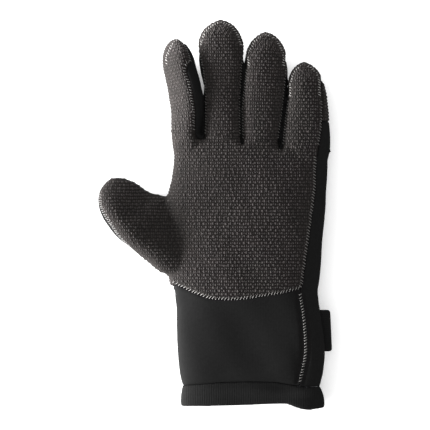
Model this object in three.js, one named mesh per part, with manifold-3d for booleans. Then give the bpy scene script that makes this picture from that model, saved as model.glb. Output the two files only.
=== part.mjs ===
// A five-finger neoprene diving glove for the left hand, lying on its back with the palm up.
// X runs across the palm with the thumb at its low end, Y from the cuff to the fingertips and Z up.
// The origin is on the flattened back, under the middle of the wrist. All lengths are millimetres.
//
// The glove is one hollow form, a cuff and palm with five digits, less the same form inset by the
// wall. Its sewn panels are then cut out of that shell, each a seam gap away from its neighbours.
import * as THREE from "three";
import { mergeVertices } from "three/addons/utils/BufferGeometryUtils.js";
import Module from "manifold-3d";

const wasm = await Module();
wasm.setup();

// Driving dimensions
const WALL = 3; // neoprene sheet with cloth on both faces
const SEAM_GAP = 0.3; // between two panels that are sewn edge to edge
const FINGER_GAP = 0.9; // between two fingers that lie side by side
const CUFF_LENGTH = 85.5; // wrist to mouth
const CUFF_WIDTH = 109;
const CUFF_DEPTH = 27;
const HEM_LENGTH = 16.5; // the folded band at the mouth
const PALM_LENGTH = 112; // wrist to the crotch of the middle and ring fingers
const PALM_DEPTH = 28;
const KNUCKLE_SLANT = 0.125; // fall of the crotch line towards the little finger, per millimetre
const INDEX_LENGTH = 69; // each finger from its crotch to its tip
const INDEX_WIDTH = 27;
const MIDDLE_LENGTH = 86.5;
const MIDDLE_WIDTH = 33;
const RING_LENGTH = 81;
const RING_WIDTH = 32.6;
const LITTLE_LENGTH = 63.5;
const LITTLE_WIDTH = 36.8;
const FINGER_DEPTH = 20;
const THUMB_LENGTH = 74; // from inside the ball of the thumb to its tip
const THUMB_WIDTH = 38;
const THUMB_DEPTH = 22;
const THUMB_DIRECTION = 141; // degrees from +X
const TAB_LENGTH = 31; // along the cuff
const TAB_REACH = 6.2; // out from the cuff's side
const TAB_LAYER = 1.3; // one layer of the folded webbing
const TAB_FOLD = 0.5; // between its two layers

// Facets round each form, and sections along it
const DIGIT_SIDES = { outer: 16, inner: 12 };
const DIGIT_STEPS = { outer: 8, inner: 5 };
const HAND_SIDES = { outer: 28, inner: 20 };
const HAND_STEPS = { outer: 18, inner: 10 };
const DOME_STEPS = [0.32, 0.58, 0.78, 0.92]; // sections of a fingertip, as shares of its dome
const FULLNESS = 2.7; // exponent of each section's superellipse: 2 is an ellipse, more is squarer

// Sections of each digit. along: share of its length from the crotch line; side: shift to the right
// as a share of its width; wide and deep: shares of its width and depth; lift: height of its middle
// as a share of its depth; roll: degrees that its face turns to the right.
const DIGIT_SECTIONS = {
  index: [
    { along: -0.5, side: 0.1, wide: 0.6, deep: 0.8, lift: 0.52, roll: -5 },
    { along: -0.2, side: 0.02, wide: 0.74, deep: 1, lift: 0.48, roll: -16 },
    { along: 0, side: -0.02, wide: 0.79, deep: 1.04, lift: 0.5, roll: -26 },
    { along: 0.23, side: 0, wide: 0.9, deep: 1, lift: 0.56, roll: -36 },
    { along: 0.49, side: -0.085, wide: 0.98, deep: 0.94, lift: 0.66, roll: -43 },
    { along: 0.71, side: -0.24, wide: 1, deep: 0.88, lift: 0.73, roll: -46 },
    { along: 1, side: -0.32, wide: 0.98, deep: 0.8, lift: 0.8, roll: -46 },
  ],
  middle: [
    { along: -0.42, side: 0, wide: 0.6, deep: 0.8, lift: 0.56, roll: 0 },
    { along: -0.18, side: 0, wide: 0.76, deep: 1.06, lift: 0.5, roll: 0 },
    { along: 0, side: 0, wide: 0.847, deep: 1.1, lift: 0.49, roll: 0 },
    { along: 0.24, side: 0, wide: 0.83, deep: 1.05, lift: 0.52, roll: 0 },
    { along: 0.45, side: 0, wide: 0.87, deep: 1, lift: 0.6, roll: 0 },
    { along: 0.67, side: -0.02, wide: 0.99, deep: 0.95, lift: 0.75, roll: 0 },
    { along: 1, side: -0.045, wide: 1, deep: 0.88, lift: 1, roll: 0 },
  ],
  ring: [
    { along: -0.42, side: 0, wide: 0.6, deep: 0.8, lift: 0.56, roll: 0 },
    { along: -0.18, side: 0, wide: 0.76, deep: 1.06, lift: 0.5, roll: 0 },
    { along: 0, side: 0, wide: 0.847, deep: 1.1, lift: 0.49, roll: 0 },
    { along: 0.3, side: 0.04, wide: 0.98, deep: 1.04, lift: 0.53, roll: 2 },
    { along: 0.6, side: 0.1, wide: 1, deep: 0.98, lift: 0.67, roll: 4 },
    { along: 0.78, side: 0.11, wide: 0.99, deep: 0.93, lift: 0.79, roll: 4 },
    { along: 1, side: 0.11, wide: 0.98, deep: 0.86, lift: 0.97, roll: 4 },
  ],
  little: [
    { along: -0.55, side: -0.03, wide: 0.6, deep: 0.8, lift: 0.56, roll: 0 },
    { along: -0.22, side: -0.01, wide: 0.84, deep: 1.06, lift: 0.5, roll: 2 },
    { along: 0, side: 0, wide: 1, deep: 1.1, lift: 0.49, roll: 3 },
    { along: 0.3, side: 0.03, wide: 0.95, deep: 1.06, lift: 0.52, roll: 4 },
    { along: 0.56, side: 0.035, wide: 0.84, deep: 1, lift: 0.62, roll: 4 },
    { along: 0.75, side: 0.015, wide: 0.81, deep: 0.95, lift: 0.73, roll: 3 },
    { along: 1, side: -0.03, wide: 0.8, deep: 0.88, lift: 0.9, roll: 2 },
  ],
  thumb: [
    { along: -0.28, side: 0.05, wide: 0.7, deep: 0.86, lift: 0.5, roll: 4 },
    { along: 0, side: 0, wide: 1.13, deep: 0.98, lift: 0.55, roll: 12 },
    { along: 0.22, side: 0, wide: 1.19, deep: 1.04, lift: 0.61, roll: 19 },
    { along: 0.44, side: 0.03, wide: 1.25, deep: 1.04, lift: 0.66, roll: 26 },
    { along: 0.59, side: -0.03, wide: 1.1, deep: 1, lift: 0.69, roll: 31 },
    { along: 0.75, side: -0.02, wide: 1.03, deep: 0.96, lift: 0.72, roll: 33 },
    { along: 1, side: 0.01, wide: 1.02, deep: 0.88, lift: 0.78, roll: 33 },
  ],
};
// Edges of the palm panel on each digit. left and right: where it ends, as shares of the half width;
// level: height of the seam on the digit's side, as a share of its half depth.
const PANEL_EDGES = {
  index: [
    { along: -0.5, left: 1.6, right: 1, level: -0.6 },
    { along: -0.2, left: 1.6, right: 1, level: -0.6 },
    { along: 0, left: 1.6, right: 0.88, level: -0.6 },
    { along: 0.23, left: 1.6, right: 0.86, level: -0.4 },
    { along: 0.49, left: 1.6, right: 0.86, level: -0.2 },
    { along: 0.71, left: 1.6, right: 0.9, level: 0 },
    { along: 1, left: 1.6, right: 1.6, level: 0 },
  ],
  middle: [
    { along: -0.42, left: 1.2, right: 1.2, level: -0.3 },
    { along: -0.18, left: 1.2, right: 1.2, level: -0.3 },
    { along: 0, left: 0.94, right: 0.94, level: -0.3 },
    { along: 0.24, left: 0.92, right: 0.93, level: -0.3 },
    { along: 0.45, left: 0.92, right: 0.94, level: -0.25 },
    { along: 0.67, left: 0.94, right: 0.96, level: -0.15 },
    { along: 1, left: 1.4, right: 1.4, level: -0.05 },
  ],
  ring: [
    { along: -0.42, left: 1.2, right: 1.2, level: -0.3 },
    { along: -0.18, left: 1.2, right: 1.2, level: -0.3 },
    { along: 0, left: 0.95, right: 0.94, level: -0.3 },
    { along: 0.3, left: 0.95, right: 0.9, level: -0.3 },
    { along: 0.6, left: 0.93, right: 0.9, level: -0.2 },
    { along: 0.78, left: 0.95, right: 0.93, level: -0.1 },
    { along: 1, left: 1.4, right: 1.4, level: -0.05 },
  ],
  little: [
    { along: -0.55, left: 1.2, right: 0.5, level: -0.3 },
    { along: -0.22, left: 1.2, right: 0.5, level: -0.3 },
    { along: 0, left: 0.95, right: 0.5, level: -0.3 },
    { along: 0.3, left: 0.95, right: 0.6, level: -0.3 },
    { along: 0.56, left: 0.95, right: 0.68, level: -0.2 },
    { along: 0.75, left: 0.96, right: 0.74, level: -0.1 },
    { along: 1, left: 1.4, right: 1, level: -0.05 },
  ],
  thumb: [
    { along: -0.28, left: 1.6, right: 1.6, level: -0.8 },
    { along: 0, left: 1.6, right: 1.6, level: -0.7 },
    { along: 0.22, left: 1.6, right: 1.6, level: -0.45 },
    { along: 0.44, left: 1.6, right: 1.6, level: -0.15 },
    { along: 0.59, left: 1.6, right: 1.6, level: 0 },
    { along: 0.75, left: 1.6, right: 1.6, level: 0.1 },
    { along: 1, left: 1.6, right: 1.6, level: 0.1 },
  ],
};

// The four fingers from the thumb's side. slot: share of its width that a finger takes at the
// crotch line; dome: share of its length that is the rounded tip.
const FINGERS = [
  { name: "index", length: INDEX_LENGTH, width: INDEX_WIDTH, slot: 0.793, dome: 0.28 },
  { name: "middle", length: MIDDLE_LENGTH, width: MIDDLE_WIDTH, slot: 0.847, dome: 0.23 },
  { name: "ring", length: RING_LENGTH, width: RING_WIDTH, slot: 0.847, dome: 0.33 },
  { name: "little", length: LITTLE_LENGTH, width: LITTLE_WIDTH, slot: 1, dome: 0.43 },
];
const slotOf = (finger) => finger.slot * finger.width;
const KNUCKLE_WIDTH = FINGERS.reduce((sum, f) => sum + slotOf(f), 3 * FINGER_GAP);

// Sections of the cuff. at: share of its length below the wrist; left, right and deep: shares of
// its width and depth.
const CUFF_SECTIONS = [
  { at: 1.1, left: 0.476, right: 0.505, deep: 1.02 },
  { at: 0.93, left: 0.481, right: 0.499, deep: 1.02 },
  { at: 0.825, left: 0.471, right: 0.476, deep: 0.93 },
  { at: 0.72, left: 0.486, right: 0.492, deep: 1 },
  { at: 0.526, left: 0.5, right: 0.505, deep: 1.02 },
  { at: 0.263, left: 0.507, right: 0.4835, deep: 0.98 },
  { at: 0.088, left: 0.508, right: 0.463, deep: 0.95 },
];
// Sections of the palm. at: share of its length above the wrist; left, right and deep: shares of
// the knuckle width and the palm's depth; slant: share of the knuckle slant.
const PALM_SECTIONS = [
  { at: 0, left: 0.48, right: 0.427, deep: 0.93, slant: 0 },
  { at: 0.06, left: 0.512, right: 0.435, deep: 0.95, slant: 0 },
  { at: 0.2, left: 0.525, right: 0.449, deep: 0.99, slant: 0.1 },
  { at: 0.335, left: 0.525, right: 0.457, deep: 1, slant: 0.2 },
  { at: 0.47, left: 0.525, right: 0.469, deep: 1, slant: 0.35 },
  { at: 0.6, left: 0.528, right: 0.479, deep: 0.97, slant: 0.5 },
  { at: 0.7, left: 0.502, right: 0.483, deep: 0.93, slant: 0.7 },
  { at: 0.8, left: 0.489, right: 0.49, deep: 0.88, slant: 0.9 },
  { at: 0.93, left: 0.487, right: 0.494, deep: 0.8, slant: 1 },
  { at: 0.975, left: 0.482, right: 0.488, deep: 0.72, slant: 1 },
  { at: 1, left: 0.45, right: 0.46, deep: 0.4, slant: 1 },
];

// Seam lines in plan. across: share of half the cuff's width; up: share of the hem's length.
const MOUTH_EDGE = [
  { across: -1.4, up: -0.06 },
  { across: -0.94, up: -0.03 },
  { across: -0.2, up: 0.03 },
  { across: 0.3, up: 0.09 },
  { across: 0.48, up: 0.09 },
  { across: 0.64, up: -0.1 },
  { across: 0.785, up: -0.18 },
  { across: 0.93, up: -0.12 },
  { across: 1.4, up: 0.02 },
];
const HEM_SEAM = [
  { across: -1.4, up: -0.12 },
  { across: -0.94, up: -0.09 },
  { across: -0.3, up: 0.08 },
  { across: 0.3, up: 0.08 },
  { across: 0.5, up: -0.02 },
  { across: 0.76, up: -0.14 },
  { across: 1.4, up: -0.1 },
];
// The palm panel's lower edge. across: share of half the knuckle width; up: share of the palm's
// length.
const PALM_LOWER_EDGE = [
  { across: -1.06, up: 0.08 },
  { across: -0.93, up: 0.04 },
  { across: -0.7, up: -0.014 },
  { across: -0.5, up: -0.049 },
  { across: -0.2, up: -0.055 },
  { across: 0.1, up: -0.036 },
  { across: 0.4, up: -0.011 },
  { across: 0.643, up: 0.02 },
];
// Its right edge, towards the little finger.
const PALM_RIGHT_EDGE = [
  { across: 0.643, up: 0.02 },
  { across: 0.7, up: 0.235 },
  { across: 0.763, up: 0.47 },
  { across: 0.815, up: 0.67 },
  { across: 0.82, up: 0.77 },
  { across: 0.828, up: 0.89 },
];
// The cuff's front seam, from the palm panel's corner to the hem. across: share of half the cuff's
// width; down: share of the cuff's length.
const CUFF_SEAM = [
  { across: 0.69, down: -0.1 },
  { across: 0.674, down: 0.03 },
  { across: 0.708, down: 0.18 },
  { across: 0.738, down: 0.37 },
  { across: 0.738, down: 0.56 },
  { across: 0.68, down: 0.75 },
  { across: 0.645, down: 0.9 },
];
const SIDE_SEAM = 0.3 * PALM_DEPTH; // height of the seam along the cuff's and the palm's side
const STRIP_LOW = -0.5; // lower edge of the strips between the fingers, as a share of the half depth
const SIDE_PANEL_FOOT = 0.3; // foot of the little finger's cloth side, as a share of its length
const TAB_PLACE = 0.35; // middle of the tab, as a share of the cuff's length below the wrist

// Every column of a table at a place in its first column, on a smooth curve through the rows.
function between(rows, key, place) {
  const above = rows.findIndex((row) => row[key] > place);
  const i = THREE.MathUtils.clamp((above < 0 ? rows.length : above) - 1, 0, rows.length - 2);
  const span = rows[i + 1][key] - rows[i][key];
  const t = THREE.MathUtils.clamp((place - rows[i][key]) / span, 0, 1);
  const slope = (k, name) => {
    const before = rows[Math.max(k - 1, 0)];
    const after = rows[Math.min(k + 1, rows.length - 1)];
    return (after[name] - before[name]) / (after[key] - before[key]);
  };
  const values = {};
  for (const name of Object.keys(rows[i]))
    values[name] =
      rows[i][name] * (1 + 2 * t) * (1 - t) ** 2 +
      rows[i + 1][name] * t * t * (3 - 2 * t) +
      slope(i, name) * span * t * (1 - t) ** 2 -
      slope(i + 1, name) * span * t * t * (1 - t);
  return values;
}

// A closed solid from a geometry, with shared vertices merged.
function solid(geometry) {
  const bare = new THREE.BufferGeometry();
  bare.setAttribute("position", geometry.getAttribute("position").clone());
  if (geometry.index) bare.setIndex(geometry.index.clone());
  const merged = mergeVertices(bare, 1e-4);
  return new wasm.Manifold(
    new wasm.Mesh({
      numProp: 3,
      vertProperties: new Float32Array(merged.getAttribute("position").array),
      triVerts: new Uint32Array(merged.index.array),
    }),
  );
}

// A skin through rings of points, closed by a point at each end.
function loft(rings, start, end) {
  const sides = rings[0].length;
  const points = [start, ...rings.flat(), end];
  const at = (r, k) => 1 + r * sides + (k % sides);
  const faces = [];
  for (let k = 0; k < sides; k++) {
    faces.push([0, at(0, k + 1), at(0, k)]);
    for (let r = 0; r + 1 < rings.length; r++) {
      faces.push([at(r, k), at(r, k + 1), at(r + 1, k)]);
      faces.push([at(r, k + 1), at(r + 1, k + 1), at(r + 1, k)]);
    }
    faces.push([points.length - 1, at(rings.length - 1, k), at(rings.length - 1, k + 1)]);
  }
  const geometry = new THREE.BufferGeometry().setFromPoints(points);
  geometry.setIndex(faces.flat());
  const made = solid(geometry);
  if (made.volume() > 0) return made;
  geometry.setIndex(faces.flatMap(([a, b, c]) => [a, c, b]));
  return solid(geometry);
}

const middleOf = (ring) =>
  ring.reduce((sum, p) => sum.add(p), new THREE.Vector3()).divideScalar(ring.length);

// A rounded section: a superellipse round the middle, flattened where it would go below the floor.
function section(frame, halfWide, halfDeep, sides, floor) {
  const shape = (v) => Math.sign(v) * Math.abs(v) ** (2 / FULLNESS);
  return Array.from({ length: sides }, (_, k) => {
    const turn = ((k + 0.5) / sides) * 2 * Math.PI;
    const point = frame.middle
      .clone()
      .addScaledVector(frame.sideways, halfWide * shape(Math.cos(turn)))
      .addScaledVector(frame.upwards, halfDeep * shape(Math.sin(turn)));
    point.z = Math.max(point.z, floor);
    return point;
  });
}

// Each finger stands in its slot on the crotch line.
let slotStart = -0.494 * KNUCKLE_WIDTH;
for (const finger of FINGERS) {
  const x = slotStart + slotOf(finger) / 2;
  finger.base = new THREE.Vector3(x, PALM_LENGTH - KNUCKLE_SLANT * x, 0);
  finger.depth = FINGER_DEPTH;
  finger.forward = new THREE.Vector3(0, 1, 0);
  slotStart += slotOf(finger) + FINGER_GAP;
}
const THUMB = {
  name: "thumb",
  length: THUMB_LENGTH,
  width: THUMB_WIDTH,
  depth: THUMB_DEPTH,
  dome: 0.3,
  base: new THREE.Vector3(-0.455 * KNUCKLE_WIDTH, 0.277 * PALM_LENGTH, 0),
  forward: new THREE.Vector3(1, 0, 0).applyAxisAngle(
    new THREE.Vector3(0, 0, 1),
    THREE.MathUtils.degToRad(THUMB_DIRECTION),
  ),
};
const DIGITS = [...FINGERS, THUMB];

// A digit's middle, its turned axes and its sizes at a share of its length.
function digitFrame(digit, along) {
  const row = {
    ...between(DIGIT_SECTIONS[digit.name], "along", along),
    ...between(PANEL_EDGES[digit.name], "along", along),
  };
  const up = new THREE.Vector3(0, 0, 1);
  const right = digit.forward.clone().cross(up);
  const roll = THREE.MathUtils.degToRad(row.roll);
  const middle = digit.base
    .clone()
    .addScaledVector(digit.forward, along * digit.length)
    .addScaledVector(right, row.side * digit.width);
  middle.z = row.lift * digit.depth;
  return {
    row,
    middle,
    sideways: right.applyAxisAngle(digit.forward, roll),
    upwards: up.applyAxisAngle(digit.forward, roll),
    halfWide: (row.wide * digit.width) / 2,
    halfDeep: (row.deep * digit.depth) / 2,
  };
}

// The closed form of a digit, inset by the wall for its hollow.
function digitForm(digit, inset) {
  const kind = inset > 0 ? "inner" : "outer";
  const root = DIGIT_SECTIONS[digit.name][0].along;
  const shoulder = 1 - digit.dome;
  const tip = 1 - inset / digit.length;
  const ringAt = (along, share) => {
    const f = digitFrame(digit, along);
    const wide = (f.halfWide - inset) * share;
    return section(f, wide, (f.halfDeep - inset) * share, DIGIT_SIDES[kind], inset);
  };
  const rings = [];
  for (let i = 0; i <= DIGIT_STEPS[kind]; i++)
    rings.push(ringAt(root + ((shoulder - root) * i) / DIGIT_STEPS[kind], 1));
  for (const u of DOME_STEPS)
    rings.push(ringAt(shoulder + (tip - shoulder) * u, (1 - u * u) ** 0.55));
  return loft(rings, middleOf(rings[0]), digitFrame(digit, tip).middle);
}

// The closed form of the cuff and palm. Its hollow is inset by the wall and runs out of the mouth.
const HAND_SECTIONS = [
  ...CUFF_SECTIONS.map((s) => ({
    y: -s.at * CUFF_LENGTH,
    left: s.left * CUFF_WIDTH,
    right: s.right * CUFF_WIDTH,
    deep: s.deep * CUFF_DEPTH,
    slant: 0,
  })),
  ...PALM_SECTIONS.map((s) => ({
    y: s.at * PALM_LENGTH,
    left: s.left * KNUCKLE_WIDTH,
    right: s.right * KNUCKLE_WIDTH,
    deep: s.deep * PALM_DEPTH,
    slant: s.slant * KNUCKLE_SLANT,
  })),
];
function handForm(inset, runOut) {
  const kind = inset > 0 ? "inner" : "outer";
  const mouth = HAND_SECTIONS[0].y;
  const shoulder = HAND_SECTIONS.at(-3).y;
  const end = HAND_SECTIONS.at(-1).y;
  const places = [];
  for (let i = 0; i <= HAND_STEPS[kind]; i++)
    places.push(mouth + ((shoulder - mouth) * i) / HAND_STEPS[kind]);
  for (const u of [0.5, 0.8, 1]) places.push(shoulder + (end - shoulder) * u);
  const rings = places.map((y, i) => {
    const s = between(HAND_SECTIONS, "y", y);
    const frame = {
      middle: new THREE.Vector3((s.right - s.left) / 2, i ? y : y - runOut, s.deep / 2 - 0.6),
      sideways: new THREE.Vector3(1, 0, 0),
      upwards: new THREE.Vector3(0, 0, 1),
    };
    const halfDeep = Math.max(s.deep / 2 - inset, 1);
    const ring = section(frame, (s.right + s.left) / 2 - inset, halfDeep, HAND_SIDES[kind], inset);
    for (const p of ring) p.y -= s.slant * p.x + (y > shoulder ? inset : 0);
    return ring;
  });
  return loft(rings, middleOf(rings[0]), middleOf(rings.at(-1)));
}

const joined = (solids) => solids.reduce((sum, s) => sum.add(s));
const outerForm = joined([handForm(0, 0), ...DIGITS.map((d) => digitForm(d, 0))]);
const hollow = joined([handForm(WALL, 10), ...DIGITS.map((d) => digitForm(d, WALL))]);

// A prism over an outline in plan.
const FAR = 60; // beyond every face of the glove, for the ends of a cut
function prism(outline, low) {
  const shape = new THREE.Shape(outline.map((p) => new THREE.Vector2(p.x, p.y)));
  const geometry = new THREE.ExtrudeGeometry(shape, { depth: FAR - low, bevelEnabled: false });
  return solid(geometry.translate(0, 0, low));
}
const curve = (points, steps) => new THREE.SplineCurve(points).getPoints(steps);
const hemLine = (rows, lift) =>
  curve(
    rows.map(
      (r) => new THREE.Vector2((r.across * CUFF_WIDTH) / 2, (1 + r.up) * HEM_LENGTH + lift),
    ),
    18,
  );

// Everything below a line across the cuff.
function belowLine(line, grow) {
  const bottom = -CUFF_LENGTH - FAR;
  return prism(
    [
      new THREE.Vector2(line[0].x, bottom),
      ...line.map((p) => new THREE.Vector2(p.x, p.y + grow)),
      new THREE.Vector2(line.at(-1).x, bottom),
    ],
    -FAR,
  );
}
const mouthLine = hemLine(MOUTH_EDGE, -CUFF_LENGTH - HEM_LENGTH);
const hemSeamLine = hemLine(HEM_SEAM, -CUFF_LENGTH);
const shell = outerForm.subtract(hollow).subtract(belowLine(mouthLine, 0));

// A band over one side of a digit, between two places along it. edge gives the band's left and
// right ends and its lower one, in shares of the half sizes, from a frame of the digit.
function digitCut(digit, from, to, steps, edge, grow, lowest = 0) {
  const rings = [];
  for (let i = 0; i <= steps; i++) {
    const along = from + ((to - from) * i) / steps;
    const f = digitFrame(digit, along);
    const { left, right, low } = edge(f.row, along);
    const corner = (u, v) => {
      const p = f.middle.clone().addScaledVector(f.sideways, u).addScaledVector(f.upwards, v);
      p.z = Math.max(p.z, lowest - grow);
      return p;
    };
    const [l, r] = [left * f.halfWide - grow, right * f.halfWide + grow];
    const [bottom, top] = [low * f.halfDeep - grow, f.halfDeep + 8];
    rings.push([corner(l, bottom), corner(r, bottom), corner(r, top), corner(l, top)]);
  }
  return loft(rings, middleOf(rings[0]), middleOf(rings.at(-1)));
}

// The palm panel's ground: the palm within its edges, and the face of every digit.
function palmGround(grow) {
  const half = KNUCKLE_WIDTH / 2;
  const point = (r) => new THREE.Vector2(r.across * half, r.up * PALM_LENGTH);
  const lower = curve(PALM_LOWER_EDGE.map(point), 14);
  const right = curve(PALM_RIGHT_EDGE.map(point), 8);
  const crotch = (x) => PALM_LENGTH - KNUCKLE_SLANT * x - 4 + grow;
  const outline = [
    ...lower.slice(0, -1).map((p) => new THREE.Vector2(p.x, p.y - grow)),
    ...right.map((p, i) => new THREE.Vector2(p.x + grow, i ? p.y : p.y - grow)),
    new THREE.Vector2(right.at(-1).x + grow, crotch(right.at(-1).x)),
    new THREE.Vector2(-1.06 * half, crotch(-half)),
  ];
  const face = (row) => ({ left: -row.left, right: row.right, low: row.level });
  return joined([
    prism(outline, SIDE_SEAM - grow),
    ...FINGERS.map((f) => digitCut(f, -0.12, 1.06, 8, face, grow, SIDE_SEAM)),
    digitCut(THUMB, -0.2, 1.06, 7, face, grow, SIDE_SEAM),
  ]);
}

// The strip between two fingers: the side of each that faces the other, and the web at the crotch.
function stripGround(one, other, grow) {
  const low = (row, along) => THREE.MathUtils.lerp(STRIP_LOW, row.level, Math.max(along, 0) ** 3);
  const rightSide = (row, along) => ({ left: 0.25, right: 1.7, low: low(row, along) });
  const leftSide = (row, along) => ({ left: -1.7, right: -0.25, low: low(row, along) });
  const edge = (one.base.x + slotOf(one) / 2 + other.base.x - slotOf(other) / 2) / 2;
  const crotch = PALM_LENGTH - KNUCKLE_SLANT * edge;
  const reach = 7 + grow;
  const web = [
    new THREE.Vector2(edge - reach, crotch - 8 - grow),
    new THREE.Vector2(edge + reach, crotch - 8 - grow),
    new THREE.Vector2(edge + reach, crotch + 4),
    new THREE.Vector2(edge - reach, crotch + 4),
  ];
  const webLow = 0.5 * (1 + STRIP_LOW) * FINGER_DEPTH;
  return joined([
    prism(web, webLow - grow),
    digitCut(one, -0.02, 1.02, 8, rightSide, grow),
    digitCut(other, -0.02, 1.02, 8, leftSide, grow),
  ]);
}

// The little finger's cloth side.
function sideGround(grow) {
  const low = (row, along) => THREE.MathUtils.lerp(STRIP_LOW, row.level, along ** 3);
  const side = (row, along) => ({ left: 0.25, right: 1.7, low: low(row, along) });
  const foot = SIDE_PANEL_FOOT - grow / LITTLE_LENGTH;
  return digitCut(FINGERS[3], foot, 1.02, 6, side, grow);
}

// The front of the cuff, left of its seam.
function cuffGround(grow) {
  const seam = curve(
    CUFF_SEAM.map(
      (r) => new THREE.Vector2((r.across * CUFF_WIDTH) / 2, -r.down * CUFF_LENGTH),
    ),
    14,
  ).reverse();
  const far = -0.7 * CUFF_WIDTH;
  return prism(
    [
      new THREE.Vector2(far, seam[0].y),
      ...seam.map((p) => new THREE.Vector2(p.x + grow, p.y)),
      new THREE.Vector2(far, seam.at(-1).y),
    ],
    SIDE_SEAM - grow,
  );
}

const hemGround = (grow) => belowLine(hemSeamLine, grow);

// The tab: webbing folded once, its two ends passed through a slit in the cuff's side.
const tabSide = between(HAND_SECTIONS, "y", -TAB_PLACE * CUFF_LENGTH);
const TAB_X = tabSide.right;
const TAB_Z = tabSide.deep / 2 - 0.6;
const TAB_THICK = 2 * TAB_LAYER + TAB_FOLD;
function tabForm() {
  const start = -WALL - 1;
  const corner = TAB_THICK / 2;
  const shape = new THREE.Shape();
  shape.moveTo(start, -corner);
  shape.lineTo(TAB_REACH - corner, -corner);
  shape.absarc(TAB_REACH - corner, 0, corner, -Math.PI / 2, Math.PI / 2, false);
  shape.lineTo(start, corner);
  shape.lineTo(start, TAB_FOLD / 2);
  shape.lineTo(TAB_REACH - corner, TAB_FOLD / 2);
  shape.lineTo(TAB_REACH - corner, -TAB_FOLD / 2);
  shape.lineTo(start, -TAB_FOLD / 2);
  const geometry = new THREE.ExtrudeGeometry(shape, {
    depth: TAB_LENGTH,
    bevelEnabled: false,
    curveSegments: 6,
  });
  geometry.rotateX(Math.PI / 2);
  return solid(geometry.translate(TAB_X, -TAB_PLACE * CUFF_LENGTH + TAB_LENGTH / 2, TAB_Z));
}
function tabSlit() {
  const geometry = new THREE.BoxGeometry(
    WALL * 4,
    TAB_LENGTH + 2 * SEAM_GAP,
    TAB_THICK + 2 * SEAM_GAP,
  );
  return solid(geometry.translate(TAB_X, -TAB_PLACE * CUFF_LENGTH, TAB_Z));
}

// The panels, cut one after another out of the shell
const body = shell.subtract(hemGround(SEAM_GAP));
const unfaced = body.subtract(palmGround(SEAM_GAP));
const strips = [0, 1, 2].map((i) => [FINGERS[i], FINGERS[i + 1]]);
let back = unfaced
  .subtract(cuffGround(SEAM_GAP))
  .subtract(sideGround(SEAM_GAP))
  .subtract(tabSlit());
for (const [one, other] of strips) back = back.subtract(stripGround(one, other, SEAM_GAP));

const KNIT = { color: 0x3a3635, roughness: 0.95 };
const NEOPRENE = { color: 0x1f1f21, roughness: 0.85 };
const WEBBING = { color: 0x232325, roughness: 0.8 };
const glove = new THREE.Group();
function addPiece(name, cut, look) {
  // A cut can leave a crumb at the corner of two seams, which is dropped.
  const made = cut.decompose().sort((a, b) => b.volume() - a.volume())[0];
  const { numProp, vertProperties, triVerts } = made.getMesh();
  const positions = new Float32Array((vertProperties.length / numProp) * 3);
  for (let i = 0; i < positions.length / 3; i++)
    positions.set(vertProperties.subarray(i * numProp, i * numProp + 3), i * 3);
  const geometry = new THREE.BufferGeometry();
  geometry.setAttribute("position", new THREE.BufferAttribute(positions, 3));
  geometry.setIndex(new THREE.BufferAttribute(triVerts, 1));
  const material = new THREE.MeshStandardMaterial({ ...look, metalness: 0 });
  const mesh = new THREE.Mesh(geometry.toNonIndexed(), material);
  mesh.geometry.computeVertexNormals();
  mesh.name = name;
  glove.add(mesh);
}
addPiece("palm_panel", body.intersect(palmGround(0)), KNIT);
addPiece("little_finger_side", unfaced.intersect(sideGround(0)), KNIT);
for (const [one, other] of strips) {
  const strip = unfaced.intersect(stripGround(one, other, 0));
  addPiece(`strip_${one.name}_${other.name}`, strip, NEOPRENE);
}
addPiece("back_panel", back, NEOPRENE);
addPiece("cuff_front", unfaced.intersect(cuffGround(0)), NEOPRENE);
addPiece("hem", shell.intersect(hemGround(0)), NEOPRENE);
addPiece("side_tab", tabForm(), WEBBING);

export default glove;
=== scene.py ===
import bpy
import numpy as np
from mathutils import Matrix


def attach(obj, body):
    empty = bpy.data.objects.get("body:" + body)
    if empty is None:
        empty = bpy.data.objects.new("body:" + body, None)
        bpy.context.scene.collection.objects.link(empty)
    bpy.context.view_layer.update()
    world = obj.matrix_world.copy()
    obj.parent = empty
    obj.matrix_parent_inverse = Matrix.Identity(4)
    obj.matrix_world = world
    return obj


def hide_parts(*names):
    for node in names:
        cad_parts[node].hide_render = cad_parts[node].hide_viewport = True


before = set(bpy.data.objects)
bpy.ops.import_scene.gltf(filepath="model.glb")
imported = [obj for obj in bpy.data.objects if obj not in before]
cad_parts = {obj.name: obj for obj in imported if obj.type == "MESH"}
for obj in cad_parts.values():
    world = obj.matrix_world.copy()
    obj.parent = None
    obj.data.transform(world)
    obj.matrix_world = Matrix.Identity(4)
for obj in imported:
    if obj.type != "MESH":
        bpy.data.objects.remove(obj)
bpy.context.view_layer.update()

# The hand: the tube that becomes the cuff and the palm.
# The real one is 3 mm foam rubber sewn up round a flat pattern, so it is a full, soft tube that
# narrows at the wrist, and it lies flat on its back.
CUFF_LENGTH, CUFF_WIDTH, CUFF_DEPTH = 85.5, 109.0, 27.0
PALM_LENGTH, PALM_DEPTH = 112.0, 28.0
KNUCKLE_SLANT = 0.125
FINGER_SLOTS = [21.4, 27.95, 27.6, 36.8]
FINGER_GAP = 0.9
KNUCKLE_WIDTH = sum(FINGER_SLOTS) + 3 * FINGER_GAP
FULLNESS, CUFF_FLATNESS = 2.7, 1.7  # the cuff is wide and lies flatter than the palm
# below the wrist, left, right, deep
CUFF_ROWS = [
    (1.1, 0.476, 0.505, 1.02),
    (0.93, 0.481, 0.499, 1.02),
    (0.825, 0.471, 0.476, 0.93),
    (0.72, 0.486, 0.492, 1),
    (0.526, 0.5, 0.505, 1.02),
    (0.263, 0.507, 0.4835, 0.98),
    (0.088, 0.508, 0.463, 0.95),
]
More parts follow.
